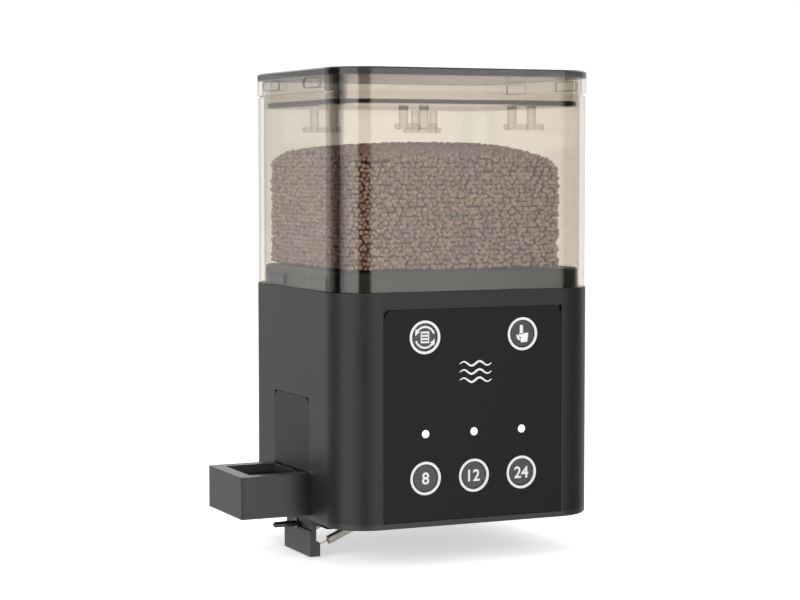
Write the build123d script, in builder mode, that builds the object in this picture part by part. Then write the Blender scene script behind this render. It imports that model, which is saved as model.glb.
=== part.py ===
from build123d import *
from math import acos, copysign, cos, pi, radians, sin, sqrt, tan
import os

os.makedirs("parts", exist_ok=True)

# Automatic fish feeder.  X runs to the right, Y to the back and Z up.
# The origin is the middle of the rest pad's underside.  Millimetres.

# --- driving dimensions ---------------------------------------------------
body_w, body_d, body_h = 95.4, 86.0, 150.0
corner_r = 14.3
half_w, half_d = body_w / 2, body_d / 2
base_bottom, base_top = 0.0, 1.9
case_top = 77.1
case_wall = 2.4
wall_in = half_w - case_wall          # inner face of the side walls
front_in = half_d - case_wall         # inner face of the front and back walls
fit_gap = 0.15                        # gap round pieces that drop into a pocket
slide_gap = 0.1                       # gap round pieces that slide

ledge_t, ledge_w = 2.0, 3.0
deck_plate_t = 2.2
deck_inset, deck_top, deck_wall = 2.8, 83.6, 2.0

hopper_inset, hopper_wall = 0.3, 2.0
hopper_bottom, hopper_top = case_top + 0.2, 142.2
neck_inset, neck_bottom = 0.9, 141.5
lid_bottom, lid_wall, lid_roof = 142.3, 1.6, 2.4
plug_inset, plug_wall, plug_bottom = 2.9, 1.6, 137.9
groove_bottom, groove_h, groove_deep = 138.3, 1.5, 0.7
lug_y, lug_w, lug_h, lug_out = 18.5, 15.0, 3.2, 0.8
lug_z, dent_z, dent_deep = case_top + 2.2, 145.4, 0.6

panel_w, panel_bottom, panel_top = 65.1, 2.1, 71.5
panel_t, panel_pocket, panel_r = 1.2, 1.3, 3.5
low_row_z, low_pitch = 16.1, 17.65
high_row_z, high_pitch = 62.4, 35.8
led_z, led_r = 30.7, 1.32
ring_r, ring_t, cap_r = 5.5, 0.85, 4.5
cap_hole_r, button_travel = 4.7, 0.5

drawer_half, drawer_bottom, drawer_top = 16.3, base_top + slide_gap, 16.0
drawer_end, drawer_back, drawer_travel = -71.8, 10.0, 23.5
pocket_start, pocket_end, pocket_half = -67.3, -47.0, 9.5
rim_chamfer = 2.2
baffle_x, baffle_t, baffle_travel = -50.2, 1.3, 10.0

chute_left, chute_right, chute_half = -42.0, -27.0, 8.5
funnel_right, funnel_half = 12.0, 26.0
chute_wall, chute_bottom, funnel_low, funnel_high = 1.5, 16.3, 40.0, 81.6
cover_half, cover_bottom, cover_top, cover_t, cover_r = 15.35, 16.3, 41.0, 1.2, 3.0
window_half, window_bottom, window_top, cover_gap = 12.0, 18.0, 39.0, 0.2

gear_module, gear_teeth, pressure_angle = 0.8, 16, 20.0
backlash = 0.1
pinion_x, pitch_z, pinion_half = 6.0, 17.0, 2.5
pitch_r = gear_module * gear_teeth / 2
pinion_z = pitch_z + pitch_r
rack_start, rack_half, rack_bottom = -22.0, 3.5, 14.0
shaft_r = 1.5

jaw_out, jaw_in, jaw_foot, jaw_half = -45.8, -43.5, -42.1, 11.7
jaw_top, jaw_bottom, boss_top = -0.2, -13.0, -8.0
pin_z, pin_r, pin_tip, pin_root = -3.3, 0.95, -54.5, -24.0
bush_r, bracket_face, bracket_end, bracket_bottom = 1.8, -37.6, -22.0, -5.0
spring_y, spring_r, hook_r = 10.0, 1.5, 0.35


def write(part, name):
    """Label a finished piece and write it to its own STEP file."""
    part.label = name
    export_step(part, f"parts/{name}.step")


def outline(inset):
    """The body's rounded outline, drawn in by inset on every side."""
    return RectangleRounded(body_w - 2 * inset, body_d - 2 * inset, corner_r - inset)


def span(x0, x1, y0, y1, z0, z1, mode=Mode.ADD):
    """A box between two corners."""
    with Locations(((x0 + x1) / 2, (y0 + y1) / 2, (z0 + z1) / 2)):
        Box(x1 - x0, y1 - y0, z1 - z0, mode=mode)


low_row = [(-low_pitch, low_row_z), (0, low_row_z), (low_pitch, low_row_z)]
high_row = [(-high_pitch / 2, high_row_z), (high_pitch / 2, high_row_z)]
button_places = low_row + high_row
button_names = ["left", "middle", "right", "timer", "feed"]
led_places = [(-low_pitch, led_z), (0, led_z), (low_pitch, led_z)]
front_plane = Plane.XZ.offset(half_d)
screw_x, screw_y, screw_r, screw_head_r = 38.0, 33.0, 1.0, 2.0
screw_places = [(-screw_x, -screw_y), (screw_x, -screw_y), (-screw_x, screw_y), (screw_x, screw_y)]
post_r, post_hole_r, post_top, post_roof, web_half = 3.2, 1.05, 20.0, 4.0, 0.8
board_half, board_bottom, board_top = 27.0, 8.0, 70.0
board_front, board_back = -33.6, -32.0
board_x, board_low, board_high = 24.5, 24.0, 54.0
board_places = [(-board_x, board_low), (board_x, board_low), (-board_x, board_high), (board_x, board_high)]
board_post_r, board_hole_r, board_hole_deep = 2.4, 0.95, 5.5
board_screw_r, board_head_r, board_head_t = 0.9, 1.9, 1.3
port_x, port_z, port_w, port_h = 25.0, 12.0, 9.0, 3.2
funnel_ledge_gap = 3.0

# --- case shell: a rounded tub, open below, with a ledge for the deck -------
with BuildPart() as case_shell:
    with BuildSketch(Plane.XY.offset(base_top)):
        outline(0)
        add(outline(case_wall), mode=Mode.SUBTRACT)
    extrude(amount=case_top - base_top)
    with BuildSketch(Plane.XY.offset(case_top - deck_plate_t - ledge_t)):
        outline(case_wall / 2)
        add(outline(case_wall + ledge_w), mode=Mode.SUBTRACT)
    extrude(amount=ledge_t)
    span(-wall_in, -wall_in + ledge_w + 1, -funnel_half - funnel_ledge_gap, funnel_half + funnel_ledge_gap,
         case_top - deck_plate_t - ledge_t, case_top, mode=Mode.SUBTRACT)
    # pocket for the front panel, open at the bottom edge
    with BuildSketch(front_plane):
        with Locations((0, (base_top + panel_top) / 2)):
            Rectangle(panel_w + 2 * fit_gap, panel_top - base_top + 2 * fit_gap)
    extrude(amount=-panel_pocket, mode=Mode.SUBTRACT)
    with BuildSketch(front_plane):
        with Locations(*button_places):
            Circle(cap_hole_r)
        with Locations(*led_places):
            Circle(led_r + fit_gap / 3)
    extrude(amount=-2 * case_wall, mode=Mode.SUBTRACT)
    # drawer mouth, and above it the pocket and hole for the chute cover
    span(-half_w - 1, -wall_in + 1, -drawer_half - slide_gap, drawer_half + slide_gap,
         base_top, drawer_top + slide_gap, mode=Mode.SUBTRACT)
    span(-half_w - 1, -half_w + panel_pocket, -cover_half - fit_gap, cover_half + fit_gap,
         drawer_top, cover_top + fit_gap, mode=Mode.SUBTRACT)
    span(-half_w, -wall_in + 1, -window_half, window_half,
         window_bottom, window_top, mode=Mode.SUBTRACT)
    # charge port slot in the back wall
    with BuildSketch(Plane.XZ.offset(-half_d)):
        with Locations((port_x, port_z)):
            SlotOverall(port_w + 4 * fit_gap, port_h + 4 * fit_gap)
    extrude(amount=2 * case_wall, mode=Mode.SUBTRACT)
    # screw posts for the base plate
    with BuildSketch(Plane.XY.offset(base_top)):
        with Locations(*screw_places):
            Circle(post_r)
    extrude(amount=post_top - base_top)
    for x, y in screw_places:
        wall_x = copysign(wall_in + case_wall / 4, x)
        span(min(x, wall_x), max(x, wall_x), y - web_half, y + web_half, base_top, post_top)
    with BuildSketch(Plane.XY.offset(base_top)):
        with Locations(*screw_places):
            Circle(post_hole_r)
    extrude(amount=post_top - base_top - post_roof, mode=Mode.SUBTRACT)
    # posts behind the front wall that carry the circuit board
    with BuildSketch(Plane.XZ.offset(front_in)):
        with Locations(*board_places):
            Circle(board_post_r)
    extrude(amount=-(front_in + board_front))
    with BuildSketch(Plane.XZ.offset(-board_front)):
        with Locations(*board_places):
            Circle(board_hole_r)
    extrude(amount=board_hole_deep, mode=Mode.SUBTRACT)
write(case_shell.part, "case_shell")

# --- base plate: a thin cover with a chamfered lip ---------------------------
pad_x, pad_y, pad_recess, pad_r = 36.0, 60.0, 0.8, 0.8
lip_chamfer = 0.5
sink_deep, sink_gap = 1.1, 0.15
stake_places, stake_r, stake_top = [(18, 31), (32, 31)], 2.0, 8.6
clamp_screw_x, clamp_screw_y, clamp_screw_r, clamp_screw_top = -30.0, 4.2, 0.75, 1.7
clamp_screw_places = [(clamp_screw_x, clamp_screw_y), (clamp_screw_x, -clamp_screw_y)]
with BuildPart() as base_plate:
    with BuildSketch(Plane.XY.offset(base_bottom)):
        outline(0)
    extrude(amount=base_top - base_bottom)
    chamfer(base_plate.faces().sort_by(Axis.Z)[0].edges(), lip_chamfer)
    with BuildSketch(Plane.XY.offset(base_bottom)):
        Rectangle(pad_x + 2 * slide_gap, pad_y + 2 * slide_gap)
    extrude(amount=pad_recess, mode=Mode.SUBTRACT)
    with Locations(*[(x, y, base_bottom + sink_deep / 2) for x, y in screw_places]):
        Cone(screw_head_r + sink_gap, post_hole_r, sink_deep, mode=Mode.SUBTRACT)
        Cylinder(post_hole_r, 4 * sink_deep, mode=Mode.SUBTRACT)
    with Locations(*[(x, y, base_bottom) for x, y in clamp_screw_places]):
        Cylinder(clamp_screw_r + 0.05, 2 * clamp_screw_top, mode=Mode.SUBTRACT)
    # stakes that hold the charge board
    with BuildSketch(Plane.XY.offset(base_top)):
        with Locations(*stake_places):
            Circle(stake_r)
    extrude(amount=stake_top - base_top)
write(base_plate.part, "base_plate")

with BuildPart() as rest_pad:
    with BuildSketch():
        RectangleRounded(pad_x, pad_y, pad_r)
    extrude(amount=base_bottom + pad_recess)
write(rest_pad.part, "rest_pad")

head_h, shank_bottom, shank_h = 1.0, 1.0, 9.0
cross_l, cross_w, cross_deep = 2.2, 0.5, 0.4
with BuildPart() as base_screws:
    with Locations(*[(x, y, base_bottom + 0.1 + head_h / 2) for x, y in screw_places]):
        Cone(screw_head_r, screw_r, head_h)
    with Locations(*[(x, y, shank_bottom + shank_h / 2) for x, y in screw_places]):
        Cylinder(screw_r, shank_h)
    with Locations(*[(x, y, base_bottom + cross_deep / 2) for x, y in screw_places]):
        Box(cross_l, cross_w, cross_deep, mode=Mode.SUBTRACT)
        Box(cross_w, cross_l, cross_deep, mode=Mode.SUBTRACT)
write(base_screws.part, "base_screws")

# --- front panel, its rings, light pins and buttons ---------------------------
with BuildPart() as front_panel:
    with BuildSketch(front_plane):
        with BuildLine():
            Polyline((-panel_w / 2, panel_top - panel_r), (-panel_w / 2, panel_bottom),
                     (panel_w / 2, panel_bottom), (panel_w / 2, panel_top - panel_r))
            RadiusArc((panel_w / 2, panel_top - panel_r), (panel_w / 2 - panel_r, panel_top), -panel_r)
            Line((panel_w / 2 - panel_r, panel_top), (-panel_w / 2 + panel_r, panel_top))
            RadiusArc((-panel_w / 2 + panel_r, panel_top), (-panel_w / 2, panel_top - panel_r), -panel_r)
        make_face()
        with Locations(*button_places):
            Circle(ring_r + 0.02, mode=Mode.SUBTRACT)
        with Locations(*led_places):
            Circle(led_r + 0.05, mode=Mode.SUBTRACT)
    extrude(amount=-panel_t)
write(front_panel.part, "front_panel")

with BuildPart() as button_rings:
    with BuildSketch(front_plane):
        with Locations(*button_places):
            Circle(ring_r)
            Circle(ring_r - ring_t, mode=Mode.SUBTRACT)
    extrude(amount=-panel_t)
write(button_rings.part, "button_rings")

lens_sink, lens_l = 0.05, 4.0
with BuildPart() as led_lenses:
    with BuildSketch(Plane.XZ.offset(half_d - lens_sink)):
        with Locations(*led_places):
            Circle(led_r)
    extrude(amount=-lens_l)
write(led_lenses.part, "led_lenses")

cap_face, flange_front, stem_end = half_d - 0.1, front_in - 0.1, 38.1
cap_edge, flange_out, flange_t, stem_r = 0.4, 1.1, 0.8, 1.5
for name, place in zip(button_names, button_places):
    with BuildPart() as button:
        with BuildSketch(Plane.XZ.offset(cap_face)):
            with Locations(place):
                Circle(cap_r)
        extrude(amount=-(cap_face - flange_front + flange_t / 2))
        fillet(button.edges().group_by(Axis.Y)[0], cap_edge)
        with BuildSketch(Plane.XZ.offset(flange_front)):
            with Locations(place):
                Circle(cap_r + flange_out)
        extrude(amount=-flange_t)
        with BuildSketch(Plane.XZ.offset(flange_front)):
            with Locations(place):
                Circle(stem_r)
        extrude(amount=-(flange_front - stem_end))
    write(button.part, f"button_{name}")

# --- circuit board and what it carries ----------------------------------------
with BuildPart() as circuit_board:
    span(-board_half, board_half, board_front, board_back, board_bottom, board_top)
    with BuildSketch(Plane.XZ.offset(-board_front)):
        with Locations(*board_places):
            Circle(board_screw_r + 0.2)
    extrude(amount=2 * (board_front - board_back), mode=Mode.SUBTRACT)
write(circuit_board.part, "circuit_board")

with BuildPart() as board_screws:
    with BuildSketch(Plane.XZ.offset(-board_back)):
        with Locations(*board_places):
            Circle(board_head_r)
    extrude(amount=-board_head_t)
    with BuildSketch(Plane.XZ.offset(-board_back)):
        with Locations(*board_places):
            Circle(board_screw_r)
    extrude(amount=6)
write(board_screws.part, "board_screws")

switch_half, switch_front, plunger_front, plunger_r = 3.0, -37.0, -37.5, 1.7
with BuildPart() as tact_switches:
    for x, z in button_places:
        span(x - switch_half, x + switch_half, switch_front, board_front, z - switch_half, z + switch_half)
    with BuildSketch(Plane.XZ.offset(-plunger_front)):
        with Locations(*button_places):
            Circle(plunger_r)
    extrude(amount=2 * (plunger_front - switch_front))
write(tact_switches.part, "tact_switches")

led_half, led_front, dome_front, dome_r = 1.6, -36.4, -38.4, 1.2
with BuildPart() as status_leds:
    for x, z in led_places:
        span(x - led_half, x + led_half, led_front, board_front, z - led_half, z + led_half)
    with BuildSketch(Plane.XZ.offset(-dome_front)):
        with Locations(*led_places):
            Circle(dome_r)
    extrude(amount=dome_front - led_front - 0.4)
write(status_leds.part, "status_leds")

chip_half, chip_t, chip_z = 4.5, 1.2, 42.5
with BuildPart() as controller_chip:
    span(-chip_half, chip_half, board_back, board_back + chip_t, chip_z - chip_half, chip_z + chip_half)
write(controller_chip.part, "controller_chip")

buzzer_place, buzzer_r, buzzer_t, sound_hole_r, sound_hole_deep = (13, 60), 4.5, 3.5, 1.0, 2.0
with BuildPart() as buzzer:
    with BuildSketch(Plane.XZ.offset(-board_back)):
        with Locations(buzzer_place):
            Circle(buzzer_r)
    extrude(amount=-buzzer_t)
    with BuildSketch(Plane.XZ.offset(-board_back - buzzer_t)):
        with Locations(buzzer_place):
            Circle(sound_hole_r)
    extrude(amount=sound_hole_deep, mode=Mode.SUBTRACT)
write(buzzer.part, "buzzer")

# --- battery and charge port -----------------------------------------------------
cell_x, cell_z, cell_r, cell_front, cell_l, cell_edge = 33.0, 50.0, 9.2, -28.0, 65.0, 0.8
with BuildPart() as battery_cell:
    with BuildSketch(Plane.XZ.offset(-cell_front)):
        with Locations((cell_x, cell_z)):
            Circle(cell_r)
    extrude(amount=-cell_l)
    fillet(battery_cell.edges().filter_by(GeomType.CIRCLE), cell_edge)
write(battery_cell.part, "battery_cell")

cradle_left, cradle_right, rib_t, tie_t = 25.0, 42.0, 4.0, 2.5
rib_front, rib_back, tie_bottom, tie_top = -24.0, 22.0, 29.9, 35.9
with BuildPart() as battery_cradle:
    for y in (rib_front, rib_back):
        span(cradle_left, cradle_right, y, y + rib_t, base_top, cell_z)
    span(cradle_right - tie_t, cradle_right, rib_front + rib_t, rib_back, tie_bottom, tie_top)
    with BuildSketch(Plane.XZ.offset(-cell_front + 2)):
        with Locations((cell_x, cell_z)):
            Circle(cell_r + slide_gap)
    extrude(amount=-cell_l - 5, mode=Mode.SUBTRACT)
write(battery_cradle.part, "battery_cradle")

charge_left, charge_right, charge_front, charge_t = 15.0, 34.0, 28.0, 1.6
with BuildPart() as charge_board:
    span(charge_left, charge_right, charge_front, front_in - 0.2, stake_top, stake_top + charge_t)
write(charge_board.part, "charge_board")

port_sink, port_skin, port_back = 0.3, 0.35, 7.4
tongue_half, tongue_t, tongue_front, tongue_end = 3.4, 0.6, 35.2, 41.5
foot_half, foot_front, foot_back, foot_t = 3.0, 36.2, 39.0, 0.4
with BuildPart() as charge_port:
    with BuildSketch(Plane.XZ.offset(-half_d + port_sink)):
        with Locations((port_x, port_z)):
            SlotOverall(port_w, port_h)
            SlotOverall(port_w - 2 * port_skin, port_h - 2 * port_skin, mode=Mode.SUBTRACT)
    extrude(amount=port_back - port_sink + 0.1)
    with BuildSketch(Plane.XZ.offset(-half_d + port_back)):
        with Locations((port_x, port_z)):
            SlotOverall(port_w, port_h)
    extrude(amount=0.8)
    span(port_x - tongue_half, port_x + tongue_half, tongue_front, tongue_end,
         port_z - tongue_t / 2, port_z + tongue_t / 2)
    span(port_x - foot_half, port_x + foot_half, foot_front, foot_back,
         stake_top + charge_t, stake_top + charge_t + foot_t)
write(charge_port.part, "charge_port")

# --- deck: the case's roof, with a spigot that the hopper fits over ---------------
with BuildPart() as hopper_deck:
    with BuildSketch(Plane.XY.offset(case_top - deck_plate_t)):
        outline(case_wall + slide_gap)
    extrude(amount=deck_plate_t)
    with BuildSketch(Plane.XY.offset(case_top)):
        outline(deck_inset)
    extrude(amount=deck_top - case_top)
    chamfer(hopper_deck.faces().sort_by(Axis.Z)[-1].edges(), 0.6)
    with BuildSketch(Plane.XY.offset(case_top - deck_plate_t)):
        outline(deck_inset + deck_wall)
    extrude(amount=funnel_high - case_top + deck_plate_t, mode=Mode.SUBTRACT)
    # mouth of the food funnel
    span(chute_left, funnel_right, -funnel_half, funnel_half, funnel_high - 1, deck_top + 1,
         mode=Mode.SUBTRACT)
    # room for the funnel's own walls
    span(chute_left - chute_wall - 0.1, chute_left, -funnel_half - 2, funnel_half + 2,
         case_top - deck_plate_t - 1, funnel_high, mode=Mode.SUBTRACT)
    # D-shaped lugs that locate the hopper's foot
    for side in (-1, 1):
        with BuildSketch(Plane.YZ.offset(side * (half_w - deck_inset))):
            with Locations((-lug_y, lug_z), (lug_y, lug_z)):
                SlotOverall(lug_w, lug_h)
        extrude(amount=side * lug_out)
write(hopper_deck.part, "hopper_deck")

with BuildPart() as food_chute:
    for grow, mode in ((chute_wall, Mode.ADD), (0, Mode.SUBTRACT)):
        with BuildSketch(Plane.XY.offset(funnel_high)):
            with Locations(((chute_left + funnel_right) / 2, 0)):
                Rectangle(funnel_right - chute_left + 2 * grow, 2 * funnel_half + 2 * grow)
        with BuildSketch(Plane.XY.offset(funnel_low)):
            with Locations(((chute_left + chute_right) / 2, 0)):
                Rectangle(chute_right - chute_left + 2 * grow, 2 * chute_half + 2 * grow)
        loft(mode=mode)
        span(chute_left - grow, chute_right + grow, -chute_half - grow, chute_half + grow,
             chute_bottom, funnel_low, mode=mode)
    span(chute_left - chute_wall - 1, chute_left + 0.5, -chute_half, chute_half,
         window_bottom, window_top, mode=Mode.SUBTRACT)
write(food_chute.part, "food_chute")

with BuildPart() as chute_cover:
    with BuildSketch(Plane.YZ.offset(-half_w)):
        with Locations((0, (cover_bottom + cover_top) / 2)):
            Rectangle(2 * cover_half, cover_top - cover_bottom)
    extrude(amount=cover_t)
    fillet(chute_cover.edges().filter_by(Axis.X).group_by(Axis.Z)[-1], cover_r)
    span(-half_w + cover_t, chute_left - chute_wall - fit_gap,
         -window_half + cover_gap, window_half - cover_gap,
         window_bottom + cover_gap, window_top - cover_gap)
write(chute_cover.part, "chute_cover")

# --- hopper: a clear tube, open at both ends --------------------------------------
notch_deep, notch_gap = 1.0, 0.4
with BuildPart() as hopper_shell:
    with BuildSketch(Plane.XY.offset(hopper_bottom)):
        outline(hopper_inset)
        add(outline(hopper_inset + hopper_wall), mode=Mode.SUBTRACT)
    extrude(amount=neck_bottom - hopper_bottom)
    with BuildSketch(Plane.XY.offset(neck_bottom)):
        outline(neck_inset)
        add(outline(hopper_inset + hopper_wall), mode=Mode.SUBTRACT)
    extrude(amount=hopper_top - neck_bottom)
    for side in (-1, 1):
        for y in (-lug_y, lug_y):
            # notch over the deck's lug, open downwards
            inner = side * (half_w - hopper_inset - hopper_wall - 0.1)
            deep = inner + side * notch_deep
            span(min(inner, deep), max(inner, deep), y - lug_w / 2 - notch_gap, y + lug_w / 2 + notch_gap,
                 hopper_bottom, lug_z + lug_h / 2 + notch_gap + 0.2, mode=Mode.SUBTRACT)
write(hopper_shell.part, "hopper_shell")

# --- lid: a clear cap with a plug that carries the gasket -------------------------
with BuildPart() as lid_shell:
    with BuildSketch(Plane.XY.offset(lid_bottom)):
        outline(0)
    extrude(amount=body_h - lid_bottom)
    chamfer(lid_shell.faces().sort_by(Axis.Z)[-1].edges(), lip_chamfer)
    with BuildSketch(Plane.XY.offset(lid_bottom)):
        outline(lid_wall)
    extrude(amount=body_h - lid_roof - lid_bottom, mode=Mode.SUBTRACT)
    with BuildSketch(Plane.XY.offset(plug_bottom)):
        outline(plug_inset)
        add(outline(plug_inset + plug_wall), mode=Mode.SUBTRACT)
    extrude(amount=body_h - lid_roof - plug_bottom)
    # gasket groove
    with BuildSketch(Plane.XY.offset(groove_bottom)):
        outline(plug_inset)
        add(outline(plug_inset + groove_deep), mode=Mode.SUBTRACT)
    extrude(amount=groove_h, mode=Mode.SUBTRACT)
    # D-shaped finger dents low in the skirt's sides
    for side in (-1, 1):
        with BuildSketch(Plane.YZ.offset(side * half_w)):
            with Locations((-lug_y, dent_z), (lug_y, dent_z)):
                SlotOverall(lug_w, lug_h)
        extrude(amount=-side * dent_deep, mode=Mode.SUBTRACT)
write(lid_shell.part, "lid_shell")

gasket_gap, gasket_out = 0.05, 0.4
with BuildPart() as lid_gasket:
    with BuildSketch(Plane.XY.offset(groove_bottom + gasket_gap)):
        outline(plug_inset - gasket_out)
        add(outline(plug_inset + groove_deep - gasket_gap), mode=Mode.SUBTRACT)
    extrude(amount=groove_h - 2 * gasket_gap)
write(lid_gasket.part, "lid_gasket")

# snap loops: two legs under the plug and a round-ended bar across their front
loop_x, loop_bottom, bar_w, bar_h, bar_t = 19.8, 129.9, 14.6, 2.0, 1.5
leg_w, leg_span, leg_t, leg_out = 2.6, 9.9, 1.8, 39.0
with BuildPart() as lid_snap_loops:
    for side in (-1, 1):
        with BuildSketch(Plane.XZ.offset(-side * (leg_out - leg_t))):
            for x in (-loop_x, loop_x):
                for leg in (-1, 1):
                    with Locations((x + leg * (leg_span - leg_w) / 2, (loop_bottom + plug_bottom) / 2)):
                        Rectangle(leg_w, plug_bottom - loop_bottom)
        extrude(amount=-side * leg_t)
        with BuildSketch(Plane.XZ.offset(-side * leg_out)):
            with Locations((-loop_x, loop_bottom + bar_h / 2), (loop_x, loop_bottom + bar_h / 2)):
                SlotOverall(bar_w, bar_h)
        extrude(amount=-side * bar_t)
write(lid_snap_loops.part, "lid_snap_loops")

# --- dose drawer: a bottomless pocket in front, a gate plate and rack behind ------
gate_under, gate_wall, end_edge = 12.5, 2.0, 0.8
click_count, click_pitch, click_start, click_in, click_r, click_deep = 6, 2.4, 3.5, 1.6, 0.45, 0.6
tab_left, tab_right, tab_front, tab_back, tab_top = -9.2, -7.2, -11.5, -10.0, 21.0
with BuildPart() as drawer:
    span(drawer_end, drawer_back, -drawer_half, drawer_half, drawer_bottom, drawer_top)
    fillet(drawer.edges().filter_by(Axis.Z).group_by(Axis.X)[0], end_edge)
    span(pocket_start, pocket_end, -pocket_half, pocket_half, drawer_bottom - 1, drawer_top + 1,
         mode=Mode.SUBTRACT)
    # sloped rims in front of and behind the pocket
    mouth = drawer.faces().filter_by(Axis.Z).sort_by(Axis.Z)[-1]
    rims = [e for e in mouth.inner_wires()[0].edges() if abs(e.tangent_at(0.5).X) > 0.9]
    chamfer(rims, rim_chamfer)
    # notches that the baffle clicks into
    for step in range(click_count):
        x = pocket_start + click_start + click_pitch * step
        for side in (-1, 1):
            with Locations((x, side * (drawer_half - click_in), drawer_top)):
                Cylinder(click_r, click_deep, mode=Mode.SUBTRACT)
    # hollow underside of the gate
    span(pocket_end + gate_wall, drawer_back - gate_wall, -drawer_half + gate_wall, drawer_half - gate_wall,
         drawer_bottom - 1, gate_under, mode=Mode.SUBTRACT)
    # groove for the rack
    span(rack_start, drawer_back + 1, -rack_half, rack_half, rack_bottom, drawer_top + 1,
         mode=Mode.SUBTRACT)
    # tab that trips the limit switches
    span(tab_left, tab_right, tab_front, tab_back, drawer_top - 1, tab_top)
write(drawer.part, "drawer")

baffle_bottom, baffle_top, grip_t, grip_half, grip_bottom = 3.0, 15.9, 2.4, 3.0, 13.2
with BuildPart() as dose_baffle:
    span(baffle_x, baffle_x + baffle_t, -pocket_half + slide_gap, pocket_half - slide_gap,
         baffle_bottom, baffle_top)
    span(baffle_x, baffle_x + grip_t, -grip_half, grip_half, grip_bottom, baffle_top)
write(dose_baffle.part, "dose_baffle")

rack_pitch = pi * gear_module
addendum = 0.9 * gear_module
root_depth = pitch_z - drawer_top
tooth_lean = tan(radians(pressure_angle))
with BuildPart() as drawer_rack:
    span(rack_start, drawer_back, -rack_half, rack_half, rack_bottom, drawer_top)
    half_pitch_tooth = (rack_pitch / 2 - backlash) / 2
    first = int((rack_start + 1.2 - pinion_x) / rack_pitch)
    last = int((drawer_back - 1.2 - pinion_x) / rack_pitch)
    with BuildSketch(Plane.XZ.offset(pinion_half)):
        for tooth in range(first, last + 1):
            x = pinion_x + tooth * rack_pitch
            foot = half_pitch_tooth + root_depth * tooth_lean
            tip = half_pitch_tooth - addendum * tooth_lean
            with BuildLine():
                Polyline((x - foot, drawer_top), (x + foot, drawer_top), (x + tip, pitch_z + addendum),
                         (x - tip, pitch_z + addendum), close=True)
            make_face()
    extrude(amount=-2 * pinion_half)
write(drawer_rack.part, "drawer_rack")

# --- pinion: involute teeth, with a gap facing the rack at rest ---------------------
base_r = pitch_r * cos(radians(pressure_angle))
tip_r = pitch_r + addendum
root_r = pitch_r - 1.15 * gear_module
pitch_involute = tan(radians(pressure_angle)) - radians(pressure_angle)
half_tooth = (rack_pitch / 2 - backlash) / 2 / pitch_r + pitch_involute


def flank(radius):
    """Half the angle between a tooth's flanks at this radius, on the involute."""
    roll = acos(base_r / radius)
    return half_tooth - (tan(roll) - roll)


def gear_point(radius, angle):
    """A point in the pinion's plane, from its own axis."""
    return (pinion_x + radius * cos(angle), pinion_z + radius * sin(angle))


flank_radii = [base_r + (tip_r - base_r) * (step / 4) for step in range(5)]
with BuildPart() as drive_pinion:
    with BuildSketch(Plane.XZ.offset(pinion_half)):
        with Locations((pinion_x, pinion_z)):
            Circle(root_r)
        for tooth in range(gear_teeth):
            middle = -pi / 2 + (tooth + 0.5) * 2 * pi / gear_teeth
            left = [gear_point(r, middle - flank(r)) for r in flank_radii]
            right = [gear_point(r, middle + flank(r)) for r in reversed(flank_radii)]
            foot_left = gear_point(root_r - 0.3, middle - flank(base_r))
            foot_right = gear_point(root_r - 0.3, middle + flank(base_r))
            with BuildLine():
                Polyline(foot_left, *left, *right, foot_right, close=True)
            make_face()
        with Locations((pinion_x, pinion_z)):
            Circle(shaft_r + 0.02, mode=Mode.SUBTRACT)
    extrude(amount=-2 * pinion_half)
write(drive_pinion.part, "drive_pinion")

shaft_end, shaft_l = -3.0, 9.0
box_half_x, box_half_z, box_front, box_back, box_bore = 5.0, 6.0, 4.0, 13.0, 2.3
can_r, can_w, can_l, boss_r, boss_l = 6.0, 10.0, 15.0, 2.5, 1.0
with BuildPart() as motor_shaft:
    with BuildSketch(Plane.XZ.offset(-shaft_end)):
        with Locations((pinion_x, pinion_z)):
            Circle(shaft_r)
    extrude(amount=-shaft_l)
write(motor_shaft.part, "motor_shaft")

with BuildPart() as motor_gearbox:
    span(pinion_x - box_half_x, pinion_x + box_half_x, box_front, box_back,
         pinion_z - box_half_z, pinion_z + box_half_z)
    with BuildSketch(Plane.XZ.offset(-box_front)):
        with Locations((pinion_x, pinion_z)):
            Circle(shaft_r + 0.05)
    extrude(amount=-box_bore, mode=Mode.SUBTRACT)
write(motor_gearbox.part, "motor_gearbox")

with BuildPart() as motor_can:
    with BuildSketch(Plane.XZ.offset(-box_back)):
        with Locations((pinion_x, pinion_z)):
            Circle(can_r)
            Rectangle(can_w, 2 * can_r, mode=Mode.INTERSECT)
    extrude(amount=-can_l)
    with BuildSketch(Plane.XZ.offset(-box_back - can_l)):
        with Locations((pinion_x, pinion_z)):
            Circle(boss_r)
    extrude(amount=-boss_l)
write(motor_can.part, "motor_can")

saddle_half, saddle_front, saddle_back, saddle_up = 8.0, 19.0, 26.0, 2.0
with BuildPart() as motor_bracket:
    span(pinion_x - saddle_half, pinion_x + saddle_half, saddle_front, saddle_back,
         base_top, pinion_z + saddle_up)
    with BuildSketch(Plane.XZ.offset(1 - saddle_front)):
        with Locations((pinion_x, pinion_z)):
            Circle(can_r + 0.05)
    extrude(amount=-(saddle_back - saddle_front + 2), mode=Mode.SUBTRACT)
write(motor_bracket.part, "motor_bracket")

rail_start, lip_start, rail_end, rail_t, rail_top, lip_in = -44.0, -24.0, 38.0, 2.5, drawer_top + 1.1, 2.0
with BuildPart() as drawer_rails:
    for side in (-1, 1):
        near, far = side * (drawer_half + slide_gap), side * (drawer_half + rail_t)
        lip = side * (drawer_half - lip_in)
        span(rail_start, rail_end, min(near, far), max(near, far), base_top, rail_top)
        span(lip_start, rail_end, min(lip, far), max(lip, far), drawer_top + slide_gap, rail_top)
write(drawer_rails.part, "drawer_rails")

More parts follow.
